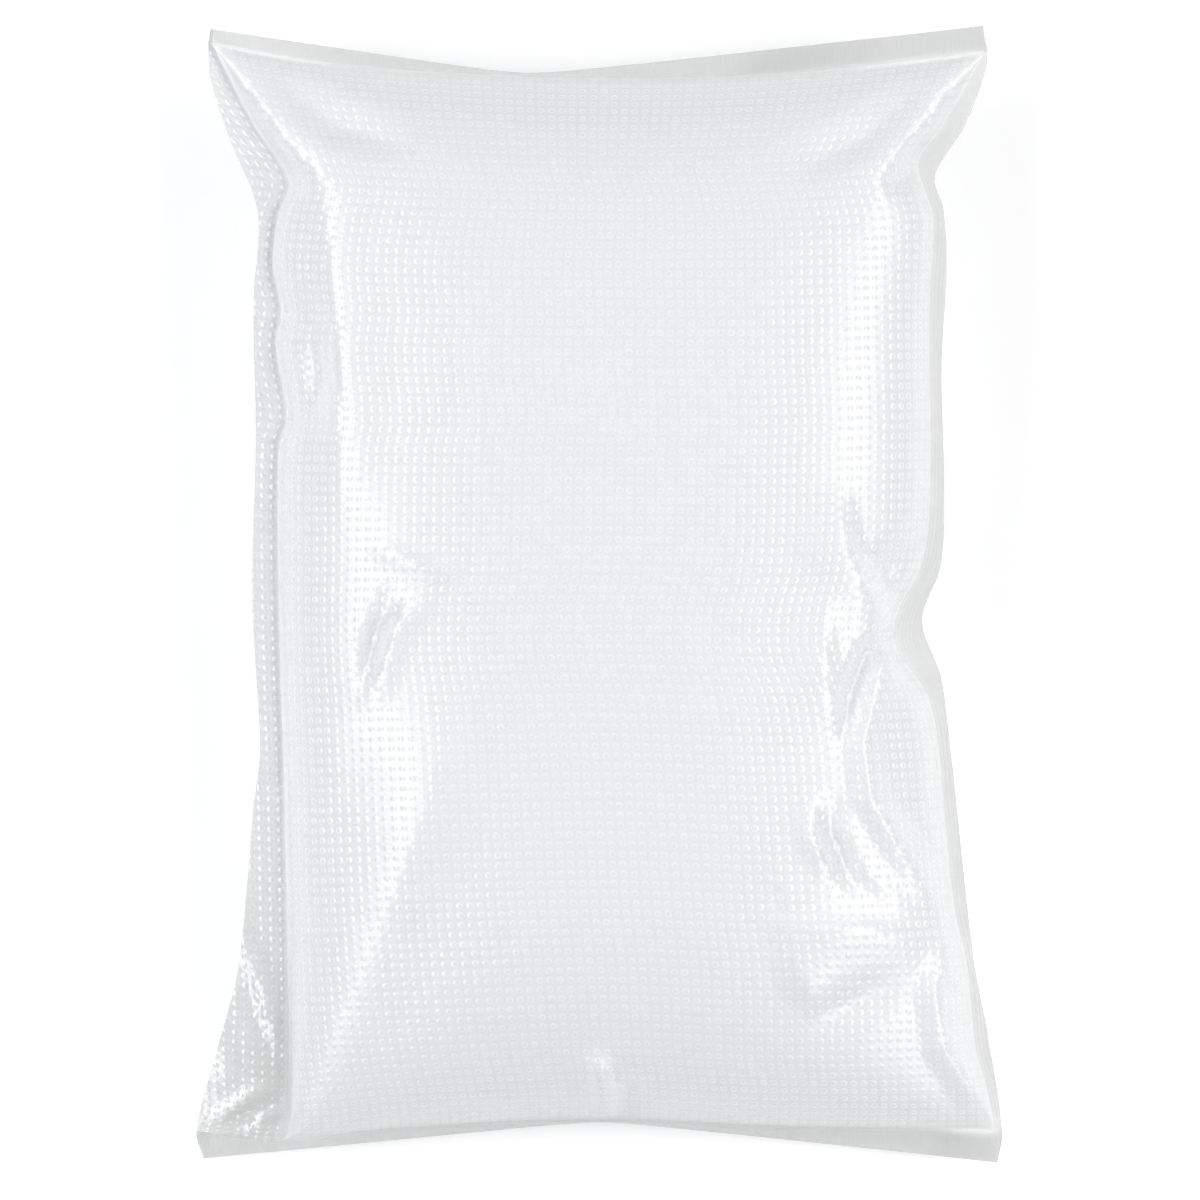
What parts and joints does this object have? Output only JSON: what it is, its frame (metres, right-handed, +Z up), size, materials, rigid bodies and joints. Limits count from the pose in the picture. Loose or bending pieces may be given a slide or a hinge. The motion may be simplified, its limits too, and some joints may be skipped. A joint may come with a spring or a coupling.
{
  "type": "bag of cassava starch",
  "caption": "Clear embossed film pillow pouch filled with white cassava starch, heat sealed across both ends, with flat side seams, lying on its back.",
  "frame": {"origin": "on the surface the pouch rests on, under the middle of its outline", "axes": "+Z up out of the shown side, +Y towards the top seal, +X to the right as the shown side is seen"},
  "size_m": [0.1911, 0.269, 0.0491],
  "materials": {
    "film": "clear, glossy, finely embossed pouch film over white powder",
    "starch": "fine matt white powder"
  },
  "bodies": {
    "root": {"starch_bag": "film"}
  },
  "joints": []
}
